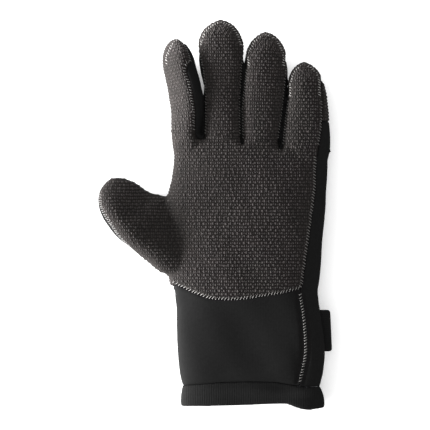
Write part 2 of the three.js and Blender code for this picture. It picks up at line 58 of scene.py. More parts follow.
# above the wrist, left, right, deep, slant
PALM_ROWS = [
    (0, 0.48, 0.427, 0.93, 0),
    (0.06, 0.512, 0.435, 0.95, 0),
    (0.2, 0.525, 0.449, 0.99, 0.1),
    (0.335, 0.525, 0.457, 1, 0.2),
    (0.47, 0.525, 0.469, 1, 0.35),
    (0.6, 0.528, 0.479, 0.97, 0.5),
    (0.7, 0.502, 0.483, 0.93, 0.7),
    (0.8, 0.489, 0.49, 0.88, 0.9),
    (0.93, 0.487, 0.494, 0.8, 1),
    (0.975, 0.482, 0.488, 0.72, 1),
    (1, 0.45, 0.46, 0.4, 1),
]

PRESSED_FLAT = 0.6  # how far the back of the tube would reach below the floor
hand_rows = np.array(
    [(-at * CUFF_LENGTH, left * CUFF_WIDTH, right * CUFF_WIDTH, deep * CUFF_DEPTH, 0)
     for at, left, right, deep in CUFF_ROWS]
    + [(at * PALM_LENGTH, left * KNUCKLE_WIDTH, right * KNUCKLE_WIDTH, deep * PALM_DEPTH,
        slant * KNUCKLE_SLANT) for at, left, right, deep, slant in PALM_ROWS])

# The block of space that holds the glove, as a grid of points, each of which will hold its
# distance from a form's surface, less than zero inside.
STEP = 0.95
grid_x = np.arange(-119, 67, STEP)
grid_y = np.arange(-94, 208, STEP)
grid_z = np.arange(-3, 36, STEP)
plan_x, plan_y = np.meshgrid(grid_x, grid_y, indexing="ij")
grid_corner = np.array([grid_x[0], grid_y[0], grid_z[0]])
GRID = plan_x.shape + grid_z.shape
FAR = 30.0  # stands for a form's distance where the form isn't worked out


def smooth_rows(rows, place):
    """Every column of a table at each place in its first column, on a smooth curve."""
    keys = rows[:, 0]
    here = np.arange(len(rows))
    before, after = rows[np.maximum(here - 1, 0)], rows[np.minimum(here + 1, len(rows) - 1)]
    slopes = (after - before) / (after[:, :1] - before[:, :1])
    i = np.clip(np.searchsorted(keys, place, "right") - 1, 0, len(rows) - 2)
    span = (keys[i + 1] - keys[i])[..., None]
    t = np.clip((place - keys[i])[..., None] / span, 0, 1)
    return (rows[i] * (1 + 2 * t) * (1 - t) ** 2 + rows[i + 1] * t * t * (3 - 2 * t)
            + slopes[i] * span * t * (1 - t) ** 2 - slopes[i + 1] * span * t * t * (1 - t))


def as_distance(values):
    """Values scaled so that they rise by one in each millimetre, as a distance does."""
    return values / np.maximum(np.sqrt(sum(g * g for g in np.gradient(values, STEP))), 0.01)


def hand_form():
    run = plan_y.copy()
    for _ in range(3):
        run = plan_y + smooth_rows(hand_rows, run)[..., 4] * plan_x
    row = smooth_rows(hand_rows, run)
    left, right, deep = row[..., 1], row[..., 2], row[..., 3]
    across = (plan_x - (right - left) / 2) / ((right + left) / 2)
    out = (grid_z - (deep / 2 - PRESSED_FLAT)[..., None]) / (deep / 2)[..., None]
    power = (FULLNESS + CUFF_FLATNESS * np.clip(-run / 30, 0, 1))[..., None]
    share = (abs(across)[..., None] ** power + abs(out) ** power) ** (1 / power)
    return np.maximum(as_distance(share - 1), (run - PALM_LENGTH)[..., None])


# The four fingers.
# Each is a tube of the same foam that ends in a round tip, and each leans and turns a little as it
# lies: the index finger most, so that its face looks away from the others.
FINGER_DEPTH = 20.0
# along, side, wide, deep, lift, roll, then the palm panel's left and right ends and side level
INDEX_ROWS = [
    (-0.5, 0.1, 0.6, 0.8, 0.52, -5, 1.6, 1, -0.6),
    (-0.2, 0.02, 0.74, 1, 0.48, -16, 1.6, 1, -0.6),
    (0, -0.02, 0.79, 1.04, 0.5, -26, 1.6, 0.88, -0.6),
    (0.23, 0, 0.9, 1, 0.56, -36, 1.6, 0.86, -0.4),
    (0.49, -0.085, 0.98, 0.94, 0.66, -43, 1.6, 0.86, -0.2),
    (0.71, -0.24, 1, 0.88, 0.73, -46, 1.6, 0.9, 0),
    (1, -0.32, 0.98, 0.8, 0.8, -46, 1.6, 1.6, 0),
]
ROOT_ROWS = [
    (-0.42, 0, 0.6, 0.8, 0.56, 0, 1.2, 1.2, -0.3),
    (-0.18, 0, 0.76, 1.06, 0.5, 0, 1.2, 1.2, -0.3),
]
MIDDLE_ROWS = ROOT_ROWS + [
    (0, 0, 0.847, 1.1, 0.49, 0, 0.94, 0.94, -0.3),
    (0.24, 0, 0.83, 1.05, 0.52, 0, 0.92, 0.93, -0.3),
    (0.45, 0, 0.87, 1, 0.6, 0, 0.92, 0.94, -0.25),
    (0.67, -0.02, 0.99, 0.95, 0.75, 0, 0.94, 0.96, -0.15),
    (1, -0.045, 1, 0.88, 1, 0, 1.4, 1.4, -0.05),
]
RING_ROWS = ROOT_ROWS + [
    (0, 0, 0.847, 1.1, 0.49, 0, 0.95, 0.94, -0.3),
    (0.3, 0.04, 0.98, 1.04, 0.53, 2, 0.95, 0.9, -0.3),
    (0.6, 0.1, 1, 0.98, 0.67, 4, 0.93, 0.9, -0.2),
    (0.78, 0.11, 0.99, 0.93, 0.79, 4, 0.95, 0.93, -0.1),
    (1, 0.11, 0.98, 0.86, 0.97, 4, 1.4, 1.4, -0.05),
]
LITTLE_ROWS = [
    (-0.55, -0.03, 0.6, 0.8, 0.56, 0, 1.2, 0.5, -0.3),
    (-0.22, -0.01, 0.84, 1.06, 0.5, 2, 1.2, 0.5, -0.3),
    (0, 0, 1, 1.1, 0.49, 3, 0.95, 0.5, -0.3),
    (0.3, 0.03, 0.95, 1.06, 0.52, 4, 0.95, 0.6, -0.3),
    (0.56, 0.035, 0.84, 1, 0.62, 4, 0.95, 0.68, -0.2),
    (0.75, 0.015, 0.81, 0.95, 0.73, 3, 0.96, 0.74, -0.1),
    (1, -0.03, 0.8, 0.88, 0.9, 2, 1.4, 1, -0.05),
]


def digit(name, length, width, dome, rows, slot=None, depth=FINGER_DEPTH):
    return {"name": name, "length": length, "width": width, "dome": dome,
            "rows": np.array(rows, float), "slot": slot, "depth": depth, "forward": (0.0, 1.0)}


fingers = [
    digit("index", 69.0, 27.0, 0.28, INDEX_ROWS, FINGER_SLOTS[0]),
    digit("middle", 86.5, 33.0, 0.23, MIDDLE_ROWS, FINGER_SLOTS[1]),
    digit("ring", 81.0, 32.6, 0.33, RING_ROWS, FINGER_SLOTS[2]),
    digit("little", 63.5, 36.8, 0.43, LITTLE_ROWS, FINGER_SLOTS[3]),
]


def crotch_line(x):
    return PALM_LENGTH - KNUCKLE_SLANT * x


slot_start = -0.494 * KNUCKLE_WIDTH
for finger in fingers:
    middle_x = slot_start + finger["slot"] / 2
    finger["base"] = (middle_x, crotch_line(middle_x))
    slot_start += finger["slot"] + FINGER_GAP
index, little = fingers[0], fingers[-1]


def on_digit(d, x, y):
    """Where plan points are on a digit: share along it, shift from its axis, and its row there."""
    fx, fy = d["forward"]
    dx, dy = x - d["base"][0], y - d["base"][1]
    along = (dx * fx + dy * fy) / d["length"]
    row = smooth_rows(d["rows"], along)
    return along, dx * fy - dy * fx - row[..., 1] * d["width"], row


def digit_point(d, along, u, v):
    """A point of a digit from its share along, and across and out as shares of the half sizes."""
    row = smooth_rows(d["rows"], along)
    turn = np.radians(row[..., 5])
    across, out = u * row[..., 2] * d["width"] / 2, v * row[..., 3] * d["depth"] / 2
    lateral = across * np.cos(turn) + out * np.sin(turn) + row[..., 1] * d["width"]
    height = out * np.cos(turn) - across * np.sin(turn) + row[..., 4] * d["depth"]
    fx, fy = d["forward"]
    run = along * d["length"]
    return np.stack([d["base"][0] + run * fx + lateral * fy, d["base"][1] + run * fy - lateral * fx,
                     height], -1)


def digit_block(d):
    """The part of the grid round a digit and, for its points, the share along the digit, the places
    across its turned face and out of it, its half sizes there and its row."""
    along, lateral, _ = on_digit(d, plan_x, plan_y)
    near = (along > d["rows"][0, 0] - 0.05) & (along < 1.12) & (abs(lateral) < 0.95 * d["width"])
    cols, rows = np.where(near.any(1))[0], np.where(near.any(0))[0]
    block = slice(cols[0], cols[-1] + 1), slice(rows[0], rows[-1] + 1)
    along, lateral, row = on_digit(d, plan_x[block][..., None], plan_y[block][..., None])
    height = grid_z - row[..., 4] * d["depth"]
    turn = np.radians(row[..., 5])
    across = lateral * np.cos(turn) - height * np.sin(turn)
    out = height * np.cos(turn) + lateral * np.sin(turn)
    return block, along, across, out, row[..., 2] * d["width"] / 2, row[..., 3] * d["depth"] / 2, row


DOME_POWER, DOME_ROUNDING = 1.82, 0.53
TIP_NUB = 1.7  # radius of the pinched nub where the seam round a fingertip ends
PRESS = 0.85  # neighbours that lie side by side touch, so each bulges into the gap between them


def digit_form(d):
    block, along, across, out, wide, deep, _ = digit_block(d)
    wide = wide + PRESS * np.clip((0.72 - along) / 0.2, 0, 1) * (d["slot"] is not None)
    share = (abs(across / wide) ** FULLNESS + abs(out / deep) ** FULLNESS) ** (1 / FULLNESS)
    dome_share = np.maximum(along - (1 - d["dome"]), 0) / d["dome"]
    ball = (share ** DOME_POWER + dome_share ** 2) ** DOME_ROUNDING
    form = np.full(GRID, FAR)
    form[block] = np.maximum(as_distance(ball - 1), (d["rows"][0, 0] - along) * d["length"])
    if d["slot"] is None:
        return form
    nub = digit_point(d, np.array(1.0), 0, 0) - (0, 0.6, 0)
    far = np.sqrt((plan_x[block][..., None] - nub[0]) ** 2 + (plan_y[block][..., None] - nub[1]) ** 2
                  + (grid_z - nub[2]) ** 2)
    form[block] = joined(form[block], far - TIP_NUB, 2.0)
    return form


def joined(a, b, blend):
    """Two forms as one, with a fillet where their surfaces meet at an angle."""
    slope_a, slope_b = np.gradient(a, STEP), np.gradient(b, STEP)
    lengths = np.sqrt(sum(g * g for g in slope_a) * sum(g * g for g in slope_b))
    turn = 1 - sum(g * h for g, h in zip(slope_a, slope_b)) / np.maximum(lengths, 0.01)
    blend = blend * np.clip(turn, 0.04, 1)
    t = np.clip(0.5 + 0.5 * (b - a) / blend, 0, 1)
    return b + (a - b) * t - blend * t * (1 - t)


def common(a, b, blend=0.9):
    """What two forms share, with a rounded edge."""
    t = np.clip(0.5 + 0.5 * (a - b) / blend, 0, 1)
    return b + (a - b) * t + blend * t * (1 - t)


finger_forms = np.minimum.reduce([digit_form(f) for f in fingers])

# The thumb.
# It stands out from the ball of the thumb, fat at its middle, and its face is turned to the palm.
THUMB_ROWS = [
    (-0.28, 0.05, 0.7, 0.86, 0.5, 4, 1.6, 1.6, -0.8),
    (0, 0, 1.13, 0.98, 0.55, 12, 1.6, 1.6, -0.7),
    (0.22, 0, 1.19, 1.04, 0.61, 19, 1.6, 1.6, -0.45),
    (0.44, 0.03, 1.25, 1.04, 0.66, 26, 1.6, 1.6, -0.15),
    (0.59, -0.03, 1.1, 1, 0.69, 31, 1.6, 1.6, 0),
    (0.75, -0.02, 1.03, 0.96, 0.72, 33, 1.6, 1.6, 0.1),
    (1, 0.01, 1.02, 0.88, 0.78, 33, 1.6, 1.6, 0.1),
]
thumb = digit("thumb", 74.0, 38.0, 0.3, THUMB_ROWS, depth=22.0)
thumb["base"] = (-0.455 * KNUCKLE_WIDTH, 0.277 * PALM_LENGTH)
thumb["forward"] = (np.cos(np.radians(141)), np.sin(np.radians(141)))

# The pattern: the lines that the panels are cut along.
# Each panel's ground is a solid over the part of the form that it covers. The palm panel lies over
# the palm, the face of every digit and the thumb, and the rest is plain neoprene and a folded hem.
SEAM = -0.1  # the edges are butted so tight that they press into each other
SIDE_SEAM = 0.3 * PALM_DEPTH
PALM_LOWER_EDGE = [(-1.06, 0.08), (-0.93, 0.04), (-0.7, -0.014), (-0.5, -0.049), (-0.2, -0.055),
                   (0.1, -0.036), (0.4, -0.011), (0.643, 0.02)]
PALM_RIGHT_EDGE = [(0.643, 0.02), (0.7, 0.235), (0.763, 0.47), (0.815, 0.67), (0.82, 0.77),
                   (0.828, 0.89)]


def curve(points, steps):
    """Evenly numbered points on a smooth curve through the given ones."""
    rows = np.column_stack([np.arange(len(points)), np.array(points, float)])
    return smooth_rows(rows, np.linspace(0, len(points) - 1, steps + 1))[:, 1:]


def prism(outline, low):
    """The space over a closed outline in plan, down to a level."""
    far = np.full(plan_x.shape, 1e9)
    crossings = np.zeros(plan_x.shape, bool)
    for (x0, y0), (x1, y1) in zip(outline, np.roll(outline, -1, 0)):
        ex, ey = x1 - x0, y1 - y0
        t = np.clip(((plan_x - x0) * ex + (plan_y - y0) * ey) / max(ex * ex + ey * ey, 1e-9), 0, 1)
        far = np.minimum(far, np.hypot(plan_x - x0 - t * ex, plan_y - y0 - t * ey))
        if y0 != y1:
            between = (y0 > plan_y) != (y1 > plan_y)
            crossings ^= between & (plan_x < x0 + (plan_y - y0) * ex / ey)
    return np.maximum(np.where(crossings, -far, far)[..., None], low - grid_z)


def digit_band(d, start, end, ends_of_band, lowest=-9.0):
    """A band over one side of a digit, between two places along it."""
    block, along, across, out, wide, deep, row = digit_block(d)
    left, right, low = ends_of_band(row, along)
    distance = np.full(GRID, FAR)
    distance[block] = np.maximum.reduce(np.broadcast_arrays(
        across - right * wide, left * wide - across, low * deep - out, lowest - grid_z,
        (start - along) * d["length"], (along - end) * d["length"]))
    return distance


half = KNUCKLE_WIDTH / 2
lower_edge = curve([(a * half, u * PALM_LENGTH) for a, u in PALM_LOWER_EDGE], 40)
right_edge = curve([(a * half, u * PALM_LENGTH) for a, u in PALM_RIGHT_EDGE], 20)
top_edge = [(x, crotch_line(x) - 4) for x in (right_edge[-1, 0], -1.06 * half)]


def panel_ends(row, _):
    return -row[..., 6], row[..., 7], row[..., 8]


palm_ground = np.minimum.reduce(
    [prism([*lower_edge, *right_edge[1:], *top_edge], SIDE_SEAM)]
    + [digit_band(f, -0.12, 1.06, panel_ends, SIDE_SEAM) for f in fingers]
    + [digit_band(thumb, -0.2, 1.06, panel_ends, SIDE_SEAM)])

HEM_LENGTH = 16.5
HEM_SEAM = [(-1.4, 0.88), (-0.94, 0.91), (-0.3, 1.08), (0.3, 1.08), (0.5, 0.98), (0.76, 0.86),
            (1.4, 0.9)]
MOUTH_EDGE = [(-1.4, -0.06), (-0.94, -0.03), (-0.2, 0.03), (0.3, 0.09), (0.48, 0.09),
              (0.64, -0.1), (0.785, -0.18), (0.93, -0.12), (1.4, 0.02)]


def space_above(line):
    """The space above a line across the cuff, given in shares of its half width and of the hem."""
    points = np.array([(a * CUFF_WIDTH / 2, u * HEM_LENGTH - CUFF_LENGTH) for a, u in line])
    return np.broadcast_to((smooth_rows(points, grid_x)[:, 1][:, None] - plan_y)[..., None], GRID)


above_hem, above_mouth = space_above(HEM_SEAM), space_above(MOUTH_EDGE)
STRIP_LOW = -0.5


def strip_low(row, along):
    return STRIP_LOW + (row[..., 8] - STRIP_LOW) * np.maximum(along, 0) ** 3


def right_side(row, along):
    return 0.25, 1.7, strip_low(row, along)


def left_side(row, along):
    return -1.7, -0.25, strip_low(row, along)


side_ground = digit_band(little, 0.3, 1.02, right_side)
strip_grounds = {}
WEB_HALF, WEB_BELOW, WEB_ABOVE = 7, 8, 4  # the web's size round the middle of a crotch
for one, other in zip(fingers, fingers[1:]):
    edge = (one["base"][0] + one["slot"] / 2 + other["base"][0] - other["slot"] / 2) / 2
    left, right = edge - WEB_HALF, edge + WEB_HALF
    low, high = crotch_line(edge) - WEB_BELOW, crotch_line(edge) + WEB_ABOVE
    web = prism([(left, low), (right, low), (right, high), (left, high)],
                0.5 * (1 + STRIP_LOW) * FINGER_DEPTH)
    strip_grounds["strip_%s_%s" % (one["name"], other["name"])] = np.minimum.reduce(
        [web, digit_band(one, -0.02, 1.02, right_side), digit_band(other, -0.02, 1.02, left_side)])

CUFF_SEAM = [(0.69, -0.1), (0.674, 0.03), (0.708, 0.18), (0.738, 0.37), (0.738, 0.56),
             (0.68, 0.75), (0.645, 0.9)]
cuff_seam = curve([(a * CUFF_WIDTH / 2, -d * CUFF_LENGTH) for a, d in CUFF_SEAM], 40)[::-1]
cuff_ground = prism([(-76, cuff_seam[0, 1]), *cuff_seam, (-76, cuff_seam[-1, 1])], SIDE_SEAM)
back_ground = np.maximum.reduce(
    [-palm_ground, -side_ground, -cuff_ground] + [-g for g in strip_grounds.values()])

# The wall: the whole form, and the same form inset by the foam's thickness.
# The panels are cut and sewn by hand, so no length of the tube is quite even: the foam pulls in
# where the cuff's seam and its folded hem are stiff, and sags between them.
WALL = 3.0
whole_form = joined(joined(hand_form(), finger_forms, 5.0), digit_form(thumb), 6.0)


def hollows(rows):
    """Soft dents in plan, added up: each row's depth at its place, fading out all round."""
    total = 0
    for depth, x, y, wide, tall, turn in rows:
        c, s = np.cos(np.radians(turn)), np.sin(np.radians(turn))
        u, v = (plan_x - x) * c + (plan_y - y) * s, (plan_y - y) * c - (plan_x - x) * s
        total = total + depth * np.exp(-(u / wide) ** 2 - (v / tall) ** 2)
    return total


unevenness = (0.2 * np.sin(plan_x / 11 + 1.3 * np.sin(plan_y / 23)) * np.sin(plan_y / 17 + 0.8)
              + 0.1 * np.sin(plan_x / 5.3 + plan_y / 9.1))
# depth, x, y, half width, half height, turn
DENTS = [
    (1.3, 25, -74, 13, 3.5, -8),  # the fold in the right part of the hem
    (0.6, 38, -57, 5, 12, 15),
    (0.35, 15, -52, 16, 8, 0),
    (-0.2, -25, -35, 14, 22, 0),
]
FULL_PLACES = [
    (0.7, -38, 176, 3, 8, 0),
    (1.3, -57, -3, 6, 8, 0),
    (0.6, -61, 5, 5, 5, 0),
    (0.8, -66, 13, 7, 6, 0),
    (1.3, -99, 40, 13, 13, 0),  # the ball of the thumb
    (1.1, -104, 84, 9, 6, 0),  # the thumb's tip
]
LEAN_PLACES = [
    (0.7, -30, 200, 10, 6, 0),
    (0.6, -8, 189, 6, 9, 0),
    (0.7, 11, 194, 12, 6, 0),
    (0.8, 39, 171, 10, 6, 0),
    (1.9, 60, 130, 7, 25, 0),  # the outer side at the little finger's root
    (1.0, -64, 124, 6, 18, 0),
    (1.0, -36.5, 152, 3, 7, 0),
    (0.6, -66, 166, 5, 14, 0),
    (0.5, -20, 205, 12, 6, 0),
    (0.5, -63, 70, 6, 16, 0),
]
palm_side = np.clip((grid_z - 9) / 6, 0, 1)
outside = (whole_form + (unevenness + hollows(LEAN_PLACES) - hollows(FULL_PLACES))[..., None]
           + hollows(DENTS)[..., None] * palm_side)
# Stitches pull the cloth in along every seam, and most on both sides of the cuff's flatlock seam.
smooth_cloth = np.clip(palm_ground / 1.5, 0, 1)
outside += 0.45 * np.exp(-(palm_ground / 1.5) ** 2) + 0.5 * np.exp(-(above_hem / 1.3) ** 2)
for ground in (side_ground, *strip_grounds.values()):
    outside += 0.3 * np.exp(-(ground / 1.2) ** 2) * smooth_cloth
cuff_pull = np.exp(-((abs(cuff_ground) - 2.4) / 1.0) ** 2) - 0.4 * np.exp(-(cuff_ground / 1.3) ** 2)
outside += 1.1 * cuff_pull * smooth_cloth * palm_side * np.clip(-above_hem - 1, 0, 1)
outside = common(outside, np.broadcast_to(-grid_z, GRID), 1.2)
shell = np.maximum(outside, -(outside + WALL))
slope_of_outside = np.gradient(outside, STEP)


def reading(values, points):
    """A grid's values at points in space, between its own points."""
    place = np.clip((points - grid_corner) / STEP, 0, np.array(values.shape) - 1.001)
    low = place.astype(int)
    t = place - low
    total = 0
    for i in (0, 1):
        for j in (0, 1):
            for k in (0, 1):
                share = abs(1 - i - t[:, 0]) * abs(1 - j - t[:, 1]) * abs(1 - k - t[:, 2])
                total = total + share * values[low[:, 0] + i, low[:, 1] + j, low[:, 2] + k]
    return total


def unit(vectors):
    return vectors / np.maximum(np.linalg.norm(vectors, axis=-1, keepdims=True), 1e-6)


def facing(points):
    """The way out of the glove's surface."""
    return unit(np.stack([reading(g, points) for g in slope_of_outside], 1))


def onto_surface(points):
    for _ in range(3):
        points = points - facing(points) * reading(outside, points)[:, None]
    return points


def skin(values):
    """Points and quads on the surface where a grid's values pass through zero."""
    inside = values < 0
    where = np.argwhere(inside)
    low, high = where.min(0) - 2, where.max(0) + 3
    values = values[low[0]:high[0], low[1]:high[1], low[2]:high[2]]
    inside = values < 0
    count = sum(inside[i:i - 1 or None, j:j - 1 or None, k:k - 1 or None].astype(np.int8)
                for i in (0, 1) for j in (0, 1) for k in (0, 1))
    mixed = (count > 0) & (count < 8)
    cells = np.argwhere(mixed)
    number = np.full(mixed.shape, -1)
    number[mixed] = np.arange(len(cells))
    total, hits = np.zeros((len(cells), 3)), np.zeros(len(cells))
    quads = []
    for axis in range(3):
        step, b, c = (np.eye(3, dtype=int)[(axis + n) % 3] for n in range(3))
        for start in (cells, cells + b, cells + c, cells + b + c):
            here, there = values[tuple(start.T)], values[tuple((start + step).T)]
            cross = (here < 0) != (there < 0)
            share = here[cross] / (here[cross] - there[cross])
            total[cross] += start[cross] + share[:, None] * step
            hits[cross] += 1
        first, second = np.moveaxis(inside, axis, 0)[:-1], np.moveaxis(inside, axis, 0)[1:]
        edges = np.argwhere(np.moveaxis(first != second, 0, axis))
        keep = (edges @ b > 0) & (edges @ c > 0)
        keep &= (edges @ b < values.shape[b.argmax()] - 1) & (edges @ c < values.shape[c.argmax()] - 1)
        edges = edges[keep]
        quad = np.stack([number[tuple((edges - m).T)] for m in (b + c, c, 0 * b, b)], 1)
        leaving = inside[tuple(edges.T)]
        quads.append(np.where(leaving[:, None], quad, quad[:, ::-1]))
    return grid_corner + (low + total / hits[:, None]) * STEP, np.concatenate(quads).tolist()


def new_object(name, data):
    thing = bpy.data.objects.new(name, data)
    bpy.context.collection.objects.link(thing)
    return thing


def new_piece(name, points, faces):
    """A smooth mesh of points in millimetres, which rides with the glove."""
    mesh = bpy.data.meshes.new(name)
    mesh.from_pydata((points / 1000).tolist(), [], faces, shade_flat=False)
    piece = new_object(name, mesh)
    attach(piece, "root")
    return piece


# The palm panel.
# One piece of foam faced with a nubbed knit of black and grey aramid yarn: the palm, the front of
# every finger and the thumb. Its edge is butted to the smooth panels and sewn through.
KNIT_RISE = 0.35  # the knit stands proud of the smooth panels
body = common(shell, above_hem + SEAM / 2)
steepness = np.clip(np.sqrt(sum(g * g for g in slope_of_outside)), 0.25, 1)
held_down = np.clip(-palm_ground / 1.6, 0, 1)  # the stitches hold its edge down
knit_face = outside - KNIT_RISE * steepness * held_down
palm_wall = np.maximum(knit_face, -(outside + WALL))
palm_solid = common(palm_wall, common(above_hem, palm_ground) + SEAM / 2)
unfaced = common(body, SEAM / 2 - palm_ground)


def linear(colour):
    """An sRGB hex colour as linear red, green, blue and alpha."""
    channels = [int(colour[i:i + 2], 16) / 255 for i in (1, 3, 5)]
    return [c / 12.92 if c <= 0.04045 else ((c + 0.055) / 1.055) ** 2.4 for c in channels] + [1]


def add(material, kind, inputs, **settings):
    """Adds a shader node: its settings, then each input's value or the output that feeds it."""
    node = material.node_tree.nodes.new("ShaderNode" + kind)
    for name, value in settings.items():
        setattr(node, name, value)
    for name, value in inputs.items():
        if isinstance(value, bpy.types.NodeSocket):
            material.node_tree.links.new(value, node.inputs[name])
        else:
            node.inputs[name].default_value = value
    return node.outputs


def new_material(name, scale=(1000, 1000, 1000)):
    """A bare material, and the places on what it covers, in millimetres."""
    material = bpy.data.materials.new(name)
    material.use_nodes = True
    material.node_tree.nodes.clear()
    place = add(material, "TexCoord", {})["Object"]
    return material, add(material, "Mapping", {"Vector": place, "Scale": scale})["Vector"]


# Knitted aramid and nylon, unbrushed. It gives a matt near-black ground that swallows light, with
# a grain of loops. The loops are 0.7 mm in the real cloth and 1.1 mm here, so that they show.
LOOP = 1.1
WORN_PLACE = 9
knit, place = new_material("aramid_knit_unbrushed")
loops = add(knit, "TexVoronoi", {"Vector": place, "Scale": 1 / LOOP, "Randomness": 0.6})["Distance"]
wear = add(knit, "TexNoise", {"Vector": place, "Scale": 1 / WORN_PLACE, "Detail": 5})["Fac"]
shade = add(knit, "MixRGB", {"Fac": loops, "Color1": linear("#2a2624"), "Color2": linear("#121111")})
shade = add(knit, "MixRGB", {"Fac": wear, "Color1": shade["Color"], "Color2": linear("#141312")})
grain = add(knit, "Bump", {"Height": loops, "Strength": 0.8, "Distance": 0.0003}, invert=True)
cloth = add(knit, "BsdfPrincipled", {"Base Color": shade["Color"], "Roughness": 0.92, "IOR": 1.5,
                                     "Specular IOR Level": 0.1, "Normal": grain["Normal"]})
add(knit, "OutputMaterial", {"Surface": cloth["BSDF"]})

# Brushed nylon lining. It shows inside the glove, as a soft dark charcoal with a short nap.
NAP = 0.8
lining, place = new_material("nylon_lining_brushed")
nap = add(lining, "TexNoise", {"Vector": place, "Scale": 1 / NAP, "Detail": 6})["Fac"]
shade = add(lining, "MixRGB", {"Fac": nap, "Color1": linear("#232427"), "Color2": linear("#34363a")})
grain = add(lining, "Bump", {"Height": nap, "Strength": 0.6, "Distance": 0.0004})
cloth = add(lining, "BsdfPrincipled", {"Base Color": shade["Color"], "Roughness": 0.95, "IOR": 1.5,
                                       "Sheen Weight": 0.3, "Sheen Roughness": 0.5,
                                       "Normal": grain["Normal"]})
add(lining, "OutputMaterial", {"Surface": cloth["BSDF"]})


def sew_in(node, solid, face):
    """Makes a panel: its solid's skin in the face cloth, and the lining where it faces inwards."""
    piece = new_piece(node + "_cloth", *skin(solid))
    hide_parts(node)
    mesh = piece.data
    mesh.materials.append(face)
    mesh.materials.append(lining)
    centres = np.empty(3 * len(mesh.polygons))
    mesh.polygons.foreach_get("center", centres)
    depth = reading(outside, centres.reshape(-1, 3) * 1000)
    mesh.polygons.foreach_set("material_index", (depth < -0.7 * WALL).astype(np.int32))


sew_in("palm_panel", palm_solid, knit)

# The nubs of the knit.
# A thick grey-brown yarn floats over the black ground, so the panel is covered with short raised
# bars, and a thinner loop of it lies between each bar and the next. Each course is shifted by half
# a pitch from the one below.
NUB_PITCH, COURSE = 3.3, 2.37
NUB_LENGTH, NUB_WIDTH, NUB_HEIGHT = 1.75, 2.15, 0.5
rng = np.random.default_rng(7)
slips = rng.random(120) < 0.12  # a few courses slip out of turn, so the knit isn't too regular


def walk(points, planes, sign, steps, stride):
    """Tracks of points that walk over the glove, each in its plane, which is given by its normal."""
    track = [points]
    for _ in range(steps):
        ahead = unit(np.cross(planes, facing(points))) * sign
        points = points + stride * ahead
        for _ in range(2):
            way = facing(points)
            way = way - planes * (way * planes).sum(1, keepdims=True)
            points = points - way * (reading(outside, points)
                                     / np.maximum((way * way).sum(1), 0.05))[:, None]
        track.append(points)
    return np.array(track)


def nubs_on_courses(seeds, planes, numbers, start, reach):
    """Places and directions of the nubs on courses that run through the seeds."""
    stride = NUB_PITCH / 4
    shift = np.where((numbers + slips[numbers.astype(int)]) % 2, 0.5, 0.0) * NUB_PITCH
    found = []
    for sign in (-1, 1):
        track = walk(seeds, planes, sign, int(reach / stride) + 2, stride)
        first = np.ceil((sign * start - sign * shift) / NUB_PITCH)
        for n in range(int(reach / NUB_PITCH)):
            at = ((first + n) * NUB_PITCH + sign * shift - sign * start) / stride
            low = at.astype(int)
            t = (at - low)[:, None]
            here = np.arange(len(seeds))
            places = track[low, here] * (1 - t) + track[low + 1, here] * t
            found.append((places, planes, (at > 0.01) | (sign > 0)))
    places, planes, fresh = (np.concatenate(part) for part in zip(*found))
    return places[fresh], planes[fresh]


def on_top(line):
    """The points of the glove's top that lie straight under a line drawn in plan."""
    points = np.column_stack([line, np.full(len(line), 30.0)])
    for _ in range(16):
        points[:, 2] -= np.clip(reading(outside, points), -3, 3)
    return points


def courses_of_finger(d, lean):
    """Nubs on courses that are set off up a finger, each a course's height along the cloth."""
    first = np.ceil((crotch_line(d["base"][0]) - 4) / COURSE)
    point = on_top(np.array([[d["base"][0], first * COURSE]]))
    seeds, planes, numbers = [], [], []
    for n in range(int(1.35 * d["length"] / COURSE)):
        tilt = np.radians(lean) * np.clip((point[0, 1] - d["base"][1]) / 28, 0, 1)
        ahead = np.array([[-np.sin(tilt), np.cos(tilt), 0.0]])
        seeds.append(point[0])
        planes.append(ahead[0])
        numbers.append(first + n)
        point = walk(point, np.cross([0, 0, 1.0], ahead), 1, 3, COURSE / 3)[-1]
    start = np.full(len(seeds), d["base"][0])
    return nubs_on_courses(np.array(seeds), np.array(planes), np.array(numbers), start, reach=36)


def straight_courses(low, high, seed_x, reach):
    """Nubs on courses that run straight across in plan, between two heights."""
    numbers = np.arange(np.ceil(low / COURSE), high / COURSE)
    y = numbers * COURSE
    x = seed_x(y)
    seeds = on_top(np.stack([x, y], 1))
    return nubs_on_courses(seeds, np.tile([0, 1.0, 0], (len(y), 1)), numbers, x, reach)


def only_where(nubs, fits):
    """The nubs whose places in plan fit."""
    keep = fits(nubs[0][:, 0], nubs[0][:, 1])
    return nubs[0][keep], nubs[1][keep]


def valley(y):
    """The line between the palm and the ball of the thumb."""
    return np.where(y < 70, -61.5, -67)


FINGERS_START = 0.4 * COURSE  # how far past the crotch line the palm's courses go on
on_palm = straight_courses(-10, 122, lambda y: np.where(y < 113.5, -20, -50), reach=112)
on_thumb = straight_courses(2, 86, lambda y: np.clip(-53 - 1.235 * (y - 31), -101, -64), reach=46)
groups = [
    only_where(on_palm, lambda x, y: (y < crotch_line(x) + FINGERS_START) & (x > valley(y))),
    only_where(on_thumb, lambda x, y: x < valley(y)),
]
for finger, lean in zip(fingers, (13, 0, -2, 0)):
    groups.append(only_where(
        courses_of_finger(finger, lean),
        lambda x, y: ((abs(on_digit(finger, x, y)[1]) < 0.62 * finger["width"])
                      & (y > crotch_line(x) + FINGERS_START))))


def with_second_loops(places, planes):
    """The nubs and, half a pitch on from each, the thinner loop between it and the next."""
    along = unit(np.cross(planes, facing(places)))
    between = onto_surface(places + along * NUB_PITCH / 2)
    return (np.concatenate([places, between]), np.concatenate([planes, planes]),
            np.repeat([1.0, 0.74], len(places)))


